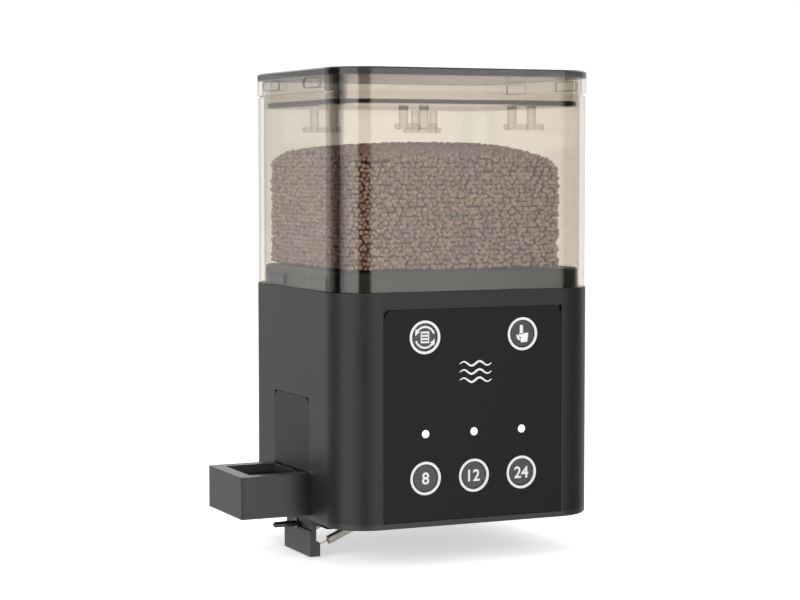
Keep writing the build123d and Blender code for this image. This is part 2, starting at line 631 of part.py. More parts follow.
closed_face, open_face, limit_l, limit_h, lever_out = -11.0, 18.2, 12.0, 6.5, 0.8
limit_front, limit_back, lever_front, lever_back, lever_bottom, lever_top = -16.0, -9.5, -12.0, -9.8, 18.2, 20.2
with BuildPart() as limit_switches:
    for face, away in ((closed_face, -1), (open_face, 1)):
        ends = sorted((face, face + away * limit_l))
        tips = sorted((face, face - away * lever_out))
        span(ends[0], ends[1], limit_front, limit_back, rail_top, rail_top + limit_h)
        span(tips[0], tips[1], lever_front, lever_back, lever_bottom, lever_top)
write(limit_switches.part, "limit_switches")

# --- rim clamp under the left edge ---------------------------------------------------
block_half, wing_half, wing_t = 7.0, 13.0, 3.0
eyelet_z, eyelet_r = -2.2, 0.7
clamp_head_r, clamp_head_h, clamp_shank_h = 1.8, 1.1, 5.6
with BuildPart() as clamp_bracket:
    span(bracket_face, bracket_end, -block_half, block_half, bracket_bottom, base_bottom)
    span(bracket_end - wing_t, bracket_end, -wing_half, wing_half, bracket_bottom, base_bottom)
    with BuildSketch(Plane.YZ.offset(bracket_face)):
        with Locations((0, pin_z)):
            Circle(pin_r + 0.02)
    extrude(amount=pin_root - bracket_face + 0.1, mode=Mode.SUBTRACT)
    with BuildSketch(Plane.YZ.offset(bracket_end - wing_t - 1)):
        with Locations((-spring_y, eyelet_z), (spring_y, eyelet_z)):
            Circle(eyelet_r)
    extrude(amount=wing_t + 2, mode=Mode.SUBTRACT)
    with Locations(*[(x, y, bracket_bottom + 2.7) for x, y in clamp_screw_places]):
        Cylinder(post_hole_r, clamp_shank_h, mode=Mode.SUBTRACT)
    with Locations(*[(x, y, bracket_bottom + 0.6) for x, y in clamp_screw_places]):
        Cone(clamp_head_r + sink_gap, post_hole_r, 1.2, mode=Mode.SUBTRACT)
write(clamp_bracket.part, "clamp_bracket")

with BuildPart() as bracket_screws:
    with Locations(*[(x, y, bracket_bottom + 0.7) for x, y in clamp_screw_places]):
        Cone(clamp_head_r, clamp_screw_r, clamp_head_h)
    with Locations(*[(x, y, bracket_bottom + 3.9) for x, y in clamp_screw_places]):
        Cylinder(clamp_screw_r, clamp_shank_h)
write(bracket_screws.part, "bracket_screws")

with BuildPart() as guide_pin:
    with BuildSketch(Plane.XZ):
        with BuildLine():
            Polyline((pin_tip + pin_r, pin_z + pin_r), (jaw_foot + 0.02, pin_z + pin_r),
                     (jaw_foot + 0.02, pin_z + bush_r), (bracket_face - 0.02, pin_z + bush_r),
                     (bracket_face - 0.02, pin_z + pin_r), (pin_root, pin_z + pin_r),
                     (pin_root, pin_z), (pin_tip, pin_z))
            RadiusArc((pin_tip, pin_z), (pin_tip + pin_r, pin_z + pin_r), pin_r)
        make_face()
    revolve(axis=Axis((0, 0, pin_z), (1, 0, 0)))
write(guide_pin.part, "guide_pin")

jaw_edge, spring_slot_half, spring_slot_bottom = 1.0, 0.8, -10.8
groove_places, groove_half = (-5.0, 0.0, 5.0), 1.2
finger_deep, finger_half = 0.9, 1.0
with BuildPart() as clamp_jaw:
    span(jaw_out, jaw_in, -jaw_half, jaw_half, jaw_bottom, jaw_top)
    span(jaw_in, jaw_foot, -jaw_half, jaw_half, jaw_bottom, boss_top)
    fillet(clamp_jaw.edges().filter_by(Axis.Y).group_by(Axis.X)[-1].sort_by(Axis.Z)[-1], jaw_edge)
    # finger groove across the outer face, level with the pin
    span(jaw_out - 1, jaw_out + finger_deep, -jaw_half - 1, jaw_half + 1,
         pin_z - finger_half, pin_z + finger_half, mode=Mode.SUBTRACT)
    with BuildSketch(Plane.YZ.offset(jaw_out - 1)):
        with Locations((0, pin_z)):
            Circle(bush_r + 0.02)
    extrude(amount=4.5, mode=Mode.SUBTRACT)
    for side in (-1, 1):
        y = side * spring_y
        span(jaw_in - 0.6, jaw_foot + 1, y - spring_slot_half, y + spring_slot_half,
             spring_slot_bottom, boss_top + 1, mode=Mode.SUBTRACT)
    for y in groove_places:
        span(jaw_in, jaw_foot + 1, y - groove_half, y + groove_half, jaw_bottom, boss_top + 1,
             mode=Mode.SUBTRACT)
write(clamp_jaw.part, "clamp_jaw")

with BuildPart() as guide_bush:
    with BuildSketch(Plane.YZ.offset(jaw_out - 0.5)):
        with Locations((0, pin_z)):
            Circle(bush_r)
            Circle(pin_r + 0.05, mode=Mode.SUBTRACT)
    extrude(amount=jaw_foot - jaw_out + 0.5)
write(guide_bush.part, "guide_bush")

grip_pad_half, grip_pad_bottom, grip_pad_top = 7.5, -7.6, -0.4
with BuildPart() as jaw_pad:
    span(jaw_in, jaw_foot, -grip_pad_half, grip_pad_half, grip_pad_bottom, grip_pad_top)
    with BuildSketch(Plane.YZ.offset(jaw_in - 1)):
        with Locations((0, pin_z)):
            Circle(bush_r + 0.4)
    extrude(amount=4, mode=Mode.SUBTRACT)
write(jaw_pad.part, "jaw_pad")

coil_low, coil_high = (-38.7, -8.1), (-28.6, -3.75)
low_hook, high_hook = 3.2, 3.6
along = (coil_high[0] - coil_low[0], 0, coil_high[1] - coil_low[1])
coil_run = sqrt(along[0] ** 2 + along[2] ** 2)
with BuildPart() as clamp_springs:
    for side in (-1, 1):
        y = side * spring_y
        with BuildSketch(Plane(origin=(coil_low[0], y, coil_low[1]), z_dir=along)):
            Circle(spring_r)
        extrude(amount=coil_run)
        with BuildSketch(Plane(origin=(coil_low[0], y, coil_low[1]), z_dir=along)):
            Circle(hook_r)
        extrude(amount=-low_hook)
        with BuildSketch(Plane(origin=(coil_high[0], y, coil_high[1]), z_dir=along)):
            Circle(hook_r)
        extrude(amount=high_hook)
write(clamp_springs.part, "clamp_springs")
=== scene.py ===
import bpy
import numpy as np
from math import cos, pi, radians, sin
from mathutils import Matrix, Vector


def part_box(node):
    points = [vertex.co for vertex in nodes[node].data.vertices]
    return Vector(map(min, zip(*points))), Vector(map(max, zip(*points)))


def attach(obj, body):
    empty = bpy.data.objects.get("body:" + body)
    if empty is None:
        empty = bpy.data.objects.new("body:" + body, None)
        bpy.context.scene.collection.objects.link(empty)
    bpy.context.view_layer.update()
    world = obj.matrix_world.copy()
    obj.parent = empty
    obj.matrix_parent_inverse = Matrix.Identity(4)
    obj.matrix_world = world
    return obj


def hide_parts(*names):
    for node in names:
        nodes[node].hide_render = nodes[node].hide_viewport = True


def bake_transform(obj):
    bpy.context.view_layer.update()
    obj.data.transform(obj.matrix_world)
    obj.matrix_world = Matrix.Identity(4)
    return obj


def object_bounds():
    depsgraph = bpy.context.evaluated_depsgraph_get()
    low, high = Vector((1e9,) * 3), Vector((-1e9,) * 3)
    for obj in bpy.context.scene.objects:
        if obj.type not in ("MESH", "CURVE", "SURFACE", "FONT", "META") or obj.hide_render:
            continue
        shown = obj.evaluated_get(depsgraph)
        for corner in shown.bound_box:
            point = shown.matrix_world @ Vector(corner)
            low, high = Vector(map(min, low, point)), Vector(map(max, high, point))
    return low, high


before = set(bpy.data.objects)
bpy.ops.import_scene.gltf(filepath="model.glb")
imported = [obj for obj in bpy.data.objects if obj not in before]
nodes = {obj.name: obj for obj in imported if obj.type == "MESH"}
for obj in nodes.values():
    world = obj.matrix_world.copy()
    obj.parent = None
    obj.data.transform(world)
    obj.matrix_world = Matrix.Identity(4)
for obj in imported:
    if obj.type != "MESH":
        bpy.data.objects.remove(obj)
cad_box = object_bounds()
low, high = cad_box

# ---------------------------------------------------------------------------
# Camera: level with the hopper's lid, a little in front of the left corner,
# tipped down just enough to take in the clamp.
# ---------------------------------------------------------------------------
camera_yaw, camera_pitch = radians(24.507), radians(3.730)
lens_data = bpy.data.cameras.new("studio_camera")
lens_data.lens = 95.95
lens_data.sensor_width = 36
studio_camera = bpy.data.objects.new("studio_camera", lens_data)
studio_camera.location = (-0.3123, -0.6691, 0.1197)
studio_camera.rotation_euler = (pi / 2 - camera_pitch, 0, -camera_yaw)
bpy.context.collection.objects.link(studio_camera)
bpy.context.scene.camera = studio_camera
bpy.context.scene.view_settings.view_transform = "Standard"


# ---------------------------------------------------------------------------
# Studio: a white room. Tall soft panels stand round the feeder with dark gaps
# between them, which glossy plastic shows as upright bands. The panels are in
# the world and only mirrors see them: three lamps and an even fill light it.
# ---------------------------------------------------------------------------
class Signal:
    """A shader value in Python arithmetic: each operator adds one Math node."""

    def __init__(self, tree, socket):
        self.tree, self.socket = tree, socket

    def step(self, operation, *others):
        node = self.tree.nodes.new("ShaderNodeMath")
        node.operation = operation
        for place, value in enumerate((self, *others)):
            feed(self.tree, node.inputs[place], value)
        return Signal(self.tree, node.outputs[0])

    def turned(self, operation, other):
        node = self.tree.nodes.new("ShaderNodeMath")
        node.operation = operation
        feed(self.tree, node.inputs[0], other)
        feed(self.tree, node.inputs[1], self)
        return Signal(self.tree, node.outputs[0])

    def __add__(self, other):
        return self.step("ADD", other)

    def __sub__(self, other):
        return self.step("SUBTRACT", other)

    def __mul__(self, other):
        return self.step("MULTIPLY", other)

    def __truediv__(self, other):
        return self.step("DIVIDE", other)

    def __rsub__(self, other):
        return self.turned("SUBTRACT", other)

    def __rtruediv__(self, other):
        return self.turned("DIVIDE", other)

    __radd__ = __add__
    __rmul__ = __mul__

    def ramp(self, start, end):
        """0 before start, 1 after end, and a smooth rise between."""
        node = self.tree.nodes.new("ShaderNodeMapRange")
        node.interpolation_type = "SMOOTHSTEP"
        feed(self.tree, node.inputs["Value"], self)
        node.inputs["From Min"].default_value = start
        node.inputs["From Max"].default_value = end
        return Signal(self.tree, node.outputs["Result"])


def feed(tree, socket, value):
    """Link a signal, or set a plain value, on a socket."""
    if isinstance(value, Signal):
        tree.links.new(value.socket, socket)
    else:
        socket.default_value = value


class Nodes:
    """A node tree that is filled by name."""

    def __init__(self, tree):
        self.tree = tree

    def add(self, kind, settings=None, inputs=None, output=0):
        node = self.tree.nodes.new(kind)
        for name, value in (settings or {}).items():
            setattr(node, name, value)
        for name, value in (inputs or {}).items():
            feed(self.tree, node.inputs[name], value)
        return Signal(self.tree, node.outputs[output])

    def mix(self, first, second, share):
        """A colour between two colours."""
        colour_mix = {"data_type": "RGBA"}
        return self.add("ShaderNodeMix", colour_mix, {0: share, 6: first, 7: second}, 2)

    def parts(self, vector):
        """The X, Y and Z of a vector."""
        node = self.tree.nodes.new("ShaderNodeSeparateXYZ")
        feed(self.tree, node.inputs[0], vector)
        return [Signal(self.tree, out) for out in node.outputs]


world = bpy.data.worlds.new("studio")
world.use_nodes = True
bpy.context.scene.world = world
sky = Nodes(world.node_tree)
sky_x, sky_y, sky_z = sky.parts(sky.add("ShaderNodeTexCoord", output="Generated"))
flat = (sky_x * sky_x + sky_y * sky_y + 1e-6).step("SQRT")


def panel_light(bearing, half_width, edge, strength):
    """A tall soft panel on this bearing, in degrees from +X towards +Y."""
    facing = (sky_x * cos(radians(bearing)) + sky_y * sin(radians(bearing))) / flat
    outer, inner = cos(radians(half_width + edge)), cos(radians(half_width - edge))
    return facing.ramp(outer, inner) * strength


back_panels = panel_light(88, 17, 8, 0.4) + panel_light(126, 14, 7, 1.2)
left_panel, front_panel_light = panel_light(206, 25, 4, 2.0), panel_light(284, 16, 6, 1.9)
right_panel = panel_light(36, 29, 4, 0.8)
upper_ring = sky_z.ramp(0.08, 0.16) * (1 - sky_z.ramp(0.5, 0.8)) * 1.1
room_glow = 0.03
panels = back_panels + left_panel + front_panel_light + right_panel + upper_ring + room_glow
ray = world.node_tree.nodes.new("ShaderNodeLightPath")
seen = Signal(world.node_tree, ray.outputs["Is Camera Ray"])
mirrored = Signal(world.node_tree, ray.outputs["Is Glossy Ray"])
through = Signal(world.node_tree, ray.outputs["Is Transmission Ray"])
soft_fill, backdrop = 0.62, 1.15
unseen = 1 - seen - mirrored - through
level = (seen + through) * backdrop + mirrored * panels + unseen * soft_fill
background = world.node_tree.nodes["Background"]
feed(world.node_tree, background.inputs["Strength"], level)
background.inputs["Color"].default_value = (1, 1, 1, 1)

middle = [(low[i] + high[i]) / 2 for i in range(3)]


def soft_lamp(name, place, size, power):
    """A square area lamp that faces the middle of the feeder."""
    data = bpy.data.lights.new(name, "AREA")
    data.size, data.energy = size, power
    lamp = bpy.data.objects.new(name, data)
    lamp.location = place
    aim = bpy.context.scene.cursor.location.copy()
    aim.x, aim.y, aim.z = middle
    lamp.rotation_euler = (aim - lamp.location).to_track_quat("-Z", "Y").to_euler()
    lamp.visible_glossy = False
    lamp.visible_camera = False
    bpy.context.collection.objects.link(lamp)


soft_lamp("left_lamp", (-0.85, -0.35, 0.45), 0.5, 3.2)
soft_lamp("right_lamp", (0.55, -0.95, 0.5), 0.5, 2.6)
soft_lamp("top_lamp", (0.0, 0.1, 1.1), 0.6, 3.0)


def grid_mesh(name, points, closed_u=False, closed_v=False, smooth=True):
    """A surface through a rows x columns grid of points, one quad per cell."""
    rows, columns = points.shape[:2]
    index = np.arange(rows * columns).reshape(rows, columns)
    if closed_v:
        index = np.vstack([index, index[:1]])
    if closed_u:
        index = np.hstack([index, index[:, :1]])
    quads = np.stack([index[:-1, :-1], index[:-1, 1:], index[1:, 1:], index[1:, :-1]], -1)
    mesh = bpy.data.meshes.new(name)
    mesh.from_pydata(points.reshape(-1, 3), [], quads.reshape(-1, 4))
    if smooth:
        mesh.shade_smooth()
    else:
        mesh.shade_flat()
    piece = bpy.data.objects.new(name, mesh)
    bpy.context.collection.objects.link(piece)
    return piece


floor_reach, floor_steps, floor_gap, floor_glow = 3.0, 5, 0.0005, 0.55
floor_line = np.linspace(-floor_reach, floor_reach, floor_steps)
floor_x, floor_y = np.meshgrid(floor_line, floor_line)
floor_points = np.stack([floor_x, floor_y, np.full_like(floor_x, low[2] - floor_gap)], -1)
floor = grid_mesh("floor", floor_points)
floor.visible_glossy = False
floor_finish = bpy.data.materials.new("white_floor")
floor_finish.use_nodes = True
floor_shader = floor_finish.node_tree.nodes["Principled BSDF"]
floor_shader.inputs["Base Color"].default_value = (0.93, 0.93, 0.93, 1)
floor_shader.inputs["Roughness"].default_value = 0.9
floor_shader.inputs["Emission Color"].default_value = (1, 1, 1, 1)
floor_ray = Nodes(floor_finish.node_tree).add("ShaderNodeLightPath", output="Is Camera Ray")
feed(floor_finish.node_tree, floor_shader.inputs["Emission Strength"], floor_ray * floor_glow)
floor.data.materials.append(floor_finish)


# ---------------------------------------------------------------------------
# Case shell, deck, funnel and base: injection-moulded black ABS with a fine
# spark-eroded grain, so a soft sheen follows the upright corners.
# ---------------------------------------------------------------------------
class Finish(Nodes):
    """A material with one Principled shader and Object coordinates."""

    def __init__(self, name, **constants):
        self.material = bpy.data.materials.new(name)
        self.material.use_nodes = True
        super().__init__(self.material.node_tree)
        self.shader = self.tree.nodes["Principled BSDF"]
        self.place = self.add("ShaderNodeTexCoord", output="Object")
        self.set(**constants)

    def set(self, **sockets):
        for name, value in sockets.items():
            feed(self.tree, self.shader.inputs[name.replace("_", " ")], value)

    def noise(self, scale, detail=2.0, vector=None):
        return self.add("ShaderNodeTexNoise", None,
                        {"Vector": vector or self.place, "Scale": scale, "Detail": detail})

    def relief(self, height, distance, strength=1.0):
        bump = self.add("ShaderNodeBump", None,
                        {"Height": height, "Distance": distance, "Strength": strength})
        self.set(Normal=bump)

    def dress(self, *names):
        """Give this finish to the frame's nodes."""
        for name in names:
            materials = nodes[name].data.materials
            materials.clear()
            materials.append(self.material)


def moulded(name, colour, pale, roughness, sheen, grain=1.0):
    """Moulded plastic: a pebbled grain, faint flow marks and uneven gloss."""
    finish = Finish(name)
    finish.set(**{"Specular IOR Level": sheen})
    pebble = finish.noise(2600, 2)
    cloud = finish.noise(22, 3)
    speck = finish.noise(900, 1)
    finish.set(Base_Color=finish.mix(colour, pale, cloud * 0.55 + speck * 0.35),
               Roughness=roughness + (cloud - 0.5) * 0.10 + (speck - 0.5) * 0.06)
    finish.relief(pebble * 0.6 + speck * 0.4, 0.00003 * grain, 0.55)
    return finish


case_black = moulded("case_black", (0.011, 0.011, 0.012, 1), (0.021, 0.021, 0.022, 1), 0.40, 0.32)
case_black.dress("case_shell", "food_chute", "battery_cradle", "motor_bracket")
deck_black = moulded("deck_black", (0.018, 0.019, 0.021, 1), (0.022, 0.023, 0.025, 1), 0.55, 0.3, 0.05)
deck_black.dress("hopper_deck")
base_black = moulded("base_black", (0.022, 0.022, 0.023, 1), (0.036, 0.036, 0.037, 1), 0.38, 0.4)
base_black.dress("base_plate", "clamp_bracket")
cover_black = moulded("cover_black", (0.017, 0.017, 0.018, 1), (0.023, 0.023, 0.024, 1), 0.5, 0.22)
cover_black.dress("chute_cover")


# ---------------------------------------------------------------------------
# Front panel: a satin black sheet glued into the case, with white button
# rings let into it and three light pins. Its markings are screen-printed.
# ---------------------------------------------------------------------------
panel_black = moulded("panel_black", (0.008, 0.008, 0.009, 1), (0.011, 0.011, 0.012, 1), 0.32, 0.14, 0.4)
panel_black.dress("front_panel")

ring_white = Finish("ring_white", Roughness=0.3)
ring_white.set(Base_Color=ring_white.mix((0.78, 0.78, 0.78, 1), (0.9, 0.9, 0.9, 1), ring_white.noise(300)))
ring_white.relief(ring_white.noise(1800), 0.00001, 0.3)
ring_white.dress("button_rings")

lens_white = Finish("lens_white", Roughness=0.22, Emission_Strength=0.35)
lens_glow = lens_white.mix((0.85, 0.87, 0.9, 1), (1, 1, 1, 1), lens_white.noise(700))
lens_white.set(Base_Color=lens_glow, Emission_Color=lens_glow)
lens_white.relief(lens_white.noise(1500), 0.00001, 0.2)
lens_white.dress("led_lenses", "status_leds")

button_gloss = Finish("button_gloss", Coat_Weight=0.6, Coat_Roughness=0.05)
button_gloss.set(**{"Specular IOR Level": 0.35})
gloss_cloud = button_gloss.noise(260, 2)
button_black, button_pale = (0.010, 0.010, 0.011, 1), (0.018, 0.018, 0.02, 1)
button_gloss.set(Base_Color=button_gloss.mix(button_black, button_pale, gloss_cloud),
                 Roughness=0.16 + gloss_cloud * 0.08)
button_gloss.relief(button_gloss.noise(120, 1), 0.00002, 0.15)
button_names = ["left", "middle", "right", "timer", "feed"]
button_gloss.dress(*["button_" + name for name in button_names])

print_white = Finish("print_white", Roughness=0.5)
ink_cloud = print_white.noise(1200, 2)
print_white.set(Base_Color=print_white.mix((0.80, 0.80, 0.80, 1), (0.92, 0.92, 0.92, 1), ink_cloud))
print_white.relief(ink_cloud, 0.000005, 0.3)
ink = 0.00004


def printed(piece, body):
    """Finish a print as white ink on its body."""
    piece.data.materials.clear()
    piece.data.materials.append(print_white.material)
    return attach(piece, body)


def centre_of(node):
    """The middle of a node's front face."""
    corner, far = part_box(node)
    return (corner[0] + far[0]) / 2, corner[1], (corner[2] + far[2]) / 2


def printed_number(text, body, height):
    """A number in plain type, stood upright on a button's face."""
    letters = bpy.data.curves.new("number", "FONT")
    letters.body, letters.size = text, height
    letters.align_x, letters.align_y = "CENTER", "CENTER"
    letters.extrude, letters.offset = ink / 2, height * 0.018
    holder = bpy.data.objects.new("number", letters)
    bpy.context.collection.objects.link(holder)
    bpy.context.view_layer.update()
    mesh = bpy.data.meshes.new_from_object(holder.evaluated_get(bpy.context.evaluated_depsgraph_get()))
    bpy.data.objects.remove(holder)
    flat_points = np.empty(len(mesh.vertices) * 3)
    mesh.vertices.foreach_get("co", flat_points)
    flat_points = flat_points.reshape(-1, 3)
    across = (flat_points[:, 0].min() + flat_points[:, 0].max()) / 2
    along = (flat_points[:, 1].min() + flat_points[:, 1].max()) / 2
    x, y, z = centre_of(body)
    upright = np.stack([x + flat_points[:, 0] - across, y - ink - flat_points[:, 2],
                        z + flat_points[:, 1] - along], -1)
    mesh.vertices.foreach_set("co", upright.ravel())
    piece = bpy.data.objects.new("print_" + text, mesh)
    bpy.context.collection.objects.link(piece)
    printed(piece, body)


number_height = 0.0054
for text, name in zip(("8", "12", "24"), button_names):
    printed_number(text, "button_" + name, number_height)


def ribbon(name, body, path, widths, face_y):
    """A flat printed line: the path widened both ways across itself, with
    a little thickness of ink. path is in X and Z, widths is per point."""
    along = np.gradient(path, axis=0)
    along /= np.linalg.norm(along, axis=1)[:, None]
    across = np.stack([-along[:, 1], along[:, 0]], -1) * widths[:, None] / 2
    left, right = path + across, path - across
    ring = np.stack([left, right, right, left], 0)
    depth = np.array([face_y, face_y, face_y - ink, face_y - ink])
    depth = np.repeat(depth[:, None], len(path), 1)
    points = np.stack([ring[..., 0], depth, ring[..., 1]], -1)
    return printed(grid_mesh(name, points, closed_v=True, smooth=False), body)


def arc_points(centre, radius, start, end, steps=28):
    """Points on a circle in X and Z, from one bearing to another."""
    turn = np.radians(np.linspace(start, end, steps))
    return np.stack([centre[0] + radius * np.cos(turn), centre[1] + radius * np.sin(turn)], -1)


# The timer's sign: two arrows that chase round a little stack of lines.
timer_x, timer_y, timer_z = centre_of("button_timer")
cycle_radius, cycle_line, head_steps = 0.0034, 0.00062, 8
head_widths = np.linspace(0.0018, 0.0001, head_steps)
for half, start in (("upper", 20), ("lower", 200)):
    sweep = arc_points((timer_x, timer_z), cycle_radius, start, start + 118)
    head = arc_points((timer_x, timer_z), cycle_radius, start + 118, start + 150, head_steps)
    ribbon("cycle_" + half, "button_timer", sweep, np.full(len(sweep), cycle_line), timer_y)
    ribbon("cycle_head_" + half, "button_timer", head, head_widths, timer_y)
bar_half, bar_line = 0.00105, 0.0006
for row, dz in enumerate(np.linspace(-0.0016, 0.0016, 4)):
    bar = np.array([[timer_x - bar_half, timer_z + dz], [timer_x + bar_half, timer_z + dz]])
    ribbon("cycle_bar_%d" % row, "button_timer", bar, np.full(2, bar_line), timer_y)
rail_out, rail_half, rail_line = 0.0013, 0.0019, 0.0004
for side, dx in (("left", -rail_out), ("right", rail_out)):
    rail = np.array([[timer_x + dx, timer_z - rail_half], [timer_x + dx, timer_z + rail_half]])
    ribbon("cycle_rail_" + side, "button_timer", rail, np.full(2, rail_line), timer_y)

# The feed button's sign: a hand with one finger up, as three tapered lines.
feed_x, feed_y, feed_z = centre_of("button_feed")
finger_z = feed_z + np.array([0.0030, 0.0028, 0.0024, -0.0001])
finger = np.stack([np.full(4, feed_x - 0.0004), finger_z], -1)
ribbon("press_finger", "button_feed", finger, np.array([0.0004, 0.0010, 0.0012, 0.0012]), feed_y)
down_palm = np.linspace(0, 1, 9)
palm_z = feed_z + np.linspace(0.0002, -0.0028, 9)
palm = np.stack([feed_x + 0.0004 + 0.0002 * down_palm, palm_z], -1)
palm_width = 0.0034 - 0.0012 * down_palm ** 2
ribbon("press_palm", "button_feed", palm, palm_width, feed_y)
thumb = np.array([[-0.0021, -0.0003], [-0.0017, -0.0010], [-0.0009, -0.0018]]) + (feed_x, feed_z)
ribbon("press_thumb", "button_feed", thumb, np.array([0.0005, 0.0010, 0.0012]), feed_y)

# Three plain waves between the signs, each thinner towards its ends.
panel_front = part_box("front_panel")[0][1]
wave_half, wave_rise, wave_line, wave_middle = 0.0058, 0.0007, 0.0007, 0.0005
wave_x = np.linspace(-wave_half, wave_half, 60)
for row, lift in enumerate((0.0532, 0.0505, 0.0478)):
    wave_z = lift + wave_rise * np.sin(wave_x / wave_half * 2 * pi)
    wave = np.stack([wave_x + wave_middle, wave_z], -1)
    thinned = wave_line * (1 - 0.6 * (wave_x / wave_half) ** 2)
    ribbon("wave_%d" % row, "root", wave, thinned, panel_front)


# ---------------------------------------------------------------------------
# Hopper and lid: smoke-tinted clear AS, polished in the tool. The lid's roof
# is a thicker, darker plate; its plug, gasket and snap loops hang inside.
# ---------------------------------------------------------------------------
def clear_plastic(name, tint, dark_tint, share, polish=0.04):
    """See-through tinted plastic. Light passes straight through in the tint,
    or in the dark tint by share, and each face mirrors more at an angle."""
    finish = Finish(name, Metallic=1.0, Base_Color=(1, 1, 1, 1))
    cloud = finish.noise(14, 2)
    finish.set(Roughness=polish + cloud * 0.04)
    finish.relief(finish.noise(30, 1), 0.00002, 0.06)
    edge_on = finish.add("ShaderNodeLayerWeight", None, {"Blend": 0.5}, "Facing")
    mirror = 0.045 + 0.9 * edge_on.step("POWER", 5)
    pale = finish.add("ShaderNodeBsdfTransparent", None, {"Color": tint})
    deep = finish.add("ShaderNodeBsdfTransparent", None, {"Color": dark_tint})
    body = finish.add("ShaderNodeMixShader", None, {0: share(finish, cloud), 1: pale, 2: deep})
    skin = finish.add("ShaderNodeMixShader", None,
                      {0: mirror, 1: body, 2: Signal(finish.tree, finish.shader.outputs[0])})
    finish.tree.links.new(skin.socket, finish.tree.nodes["Material Output"].inputs["Surface"])
    return finish


corner_radius = 0.0143
arc_x, arc_y = high[0] - corner_radius, high[1] - corner_radius
mark_y, mark_half_long, mark_half_high = 0.0185, 0.0075, 0.0016
lid_mark_z, foot_mark_z = 0.1454, 0.0793
roof_bottom = high[2] - 0.0024


def painted_corner_reflection(finish):
    """Painted dark reflection: an upright strip beside each side wall, about 5
    to 33 degrees round the corner, darkens the tint where the room's dark
    gaps would be mirrored. The front left one is deepest."""
    x, y = finish.parts(finish.place)[:2]
    over_x, over_y = x.step("ABSOLUTE") - arc_x, y.step("ABSOLUTE") - arc_y
    turn = over_y.step("ARCTAN2", over_x)
    inside = over_x.ramp(0.0, 0.0004)
    strip = turn.ramp(radians(2), radians(8)) * (1 - turn.ramp(radians(30), radians(36)))
    depth = 0.04 + 0.96 * (1 - x.ramp(-0.001, 0.001)) * (1 - y.ramp(-0.001, 0.001))
    return strip * inside * depth


def painted_mark_rim_shade(finish, middle_z):
    """Painted shade on the rim of each long round-ended mark on the side
    walls: 1 on a thin line round it, 0 elsewhere."""
    x, y, z = finish.parts(finish.place)
    straight, line = mark_half_long - mark_half_high, 0.00022
    over_y = ((y.step("ABSOLUTE") - mark_y).step("ABSOLUTE") - straight).step("MAXIMUM", 0.0)
    over_z = z - middle_z
    from_middle = (over_y * over_y + over_z * over_z).step("SQRT")
    from_rim = (from_middle - mark_half_high).step("ABSOLUTE")
    on_side = x.step("ABSOLUTE").ramp(high[0] - 0.0030, high[0] - 0.0028)
    return (1 - from_rim.ramp(line * 0.5, line)) * on_side


def hopper_share(finish, cloud):
    """Painted shade in the hopper: corner strips in place of dark reflections, and the rims of the foot's
    marks.
    """
    return painted_corner_reflection(finish) * 0.55 + painted_mark_rim_shade(finish, foot_mark_z) * 0.25 + cloud * 0.04


def lid_share(finish, cloud):
    """Shade in the lid: the roof plate is thicker and darker than the skirt; the
    corner strips and the rims of the marks are painted shade.
    """
    height = finish.parts(finish.place)[2]
    roof = height.ramp(roof_bottom - 0.0002, roof_bottom + 0.0002)
    strips = painted_corner_reflection(finish) * 0.5 + painted_mark_rim_shade(finish, lid_mark_z) * 0.4
    return strips + roof * 0.72 + cloud * 0.04


def loop_share(finish, cloud):
    """Shade in the snap loops: they darken where a face is seen edge-on."""
    return 0.05 + 0.7 * finish.add("ShaderNodeLayerWeight", None, {"Blend": 0.3}, "Facing")


# The hopper's dark tint is painted shade for the corner strips and mark rims, and a faint cloud in the
# tint.
smoke_tint, smoke_cloud_and_shade = (0.898, 0.870, 0.828, 1), (0.24, 0.24, 0.24, 1)
hopper_clear = clear_plastic("hopper_clear", smoke_tint, smoke_cloud_and_shade, hopper_share)
hopper_clear.dress("hopper_shell")
# The lid's dark tint is the roof plate's own, and also the painted shade of the lid's corner strips and
# mark rims.
lid_tint, roof_tint_and_painted_shade = (0.932, 0.912, 0.882, 1), (0.06, 0.065, 0.075, 1)
lid_clear = clear_plastic("lid_clear", lid_tint, roof_tint_and_painted_shade, lid_share)
lid_clear.dress("lid_shell")
loop_tint, loop_dark = (0.93, 0.91, 0.88, 1), (0.30, 0.29, 0.28, 1)
loop_clear = clear_plastic("loop_clear", loop_tint, loop_dark, loop_share)
loop_clear.dress("lid_snap_loops")

gasket_grey = Finish("gasket_grey", Roughness=0.55, Alpha=0.12)
gasket_grey.set(Base_Color=gasket_grey.mix((0.10, 0.105, 0.11, 1), (0.16, 0.165, 0.17, 1),
                                           gasket_grey.noise(120)))
gasket_grey.relief(gasket_grey.noise(900), 0.00002, 0.3)
gasket_grey.dress("lid_gasket")


# ---------------------------------------------------------------------------
# Fish food: round sinking pellets, about 1.5 mm, filling the hopper to a low
# heap. Extruded and oil-coated, each one a slightly different brown.
# ---------------------------------------------------------------------------
food_left, food_right = -0.0430, 0.0368
food_front, food_back = -0.0396, 0.0384
food_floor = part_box("hopper_deck")[1][2] + 0.0007
pellet = 0.00155


def rounded_outline(count):
    """Points evenly along a rectangle with round corners, round the middle:
    the curve where |x / half_x| and |y / half_y|, each to a high power, add
    up to 1."""
    half_x, half_y = (food_right - food_left) / 2, (food_back - food_front) / 2
    turn = np.linspace(0, 2 * pi, count * 6)
    sharp = 14.0
    powers = np.abs(np.cos(turn) / half_x) ** sharp + np.abs(np.sin(turn) / half_y) ** sharp
    reach = powers ** (-1 / sharp)
    curve = np.stack([reach * np.cos(turn), reach * np.sin(turn)], -1)
    walked = np.concatenate([[0], np.cumsum(np.linalg.norm(np.diff(curve, axis=0), axis=1))])
    even = np.linspace(0, walked[-1], count, endpoint=False)
    return np.stack([np.interp(even, walked, curve[:, 0]), np.interp(even, walked, curve[:, 1])], -1)


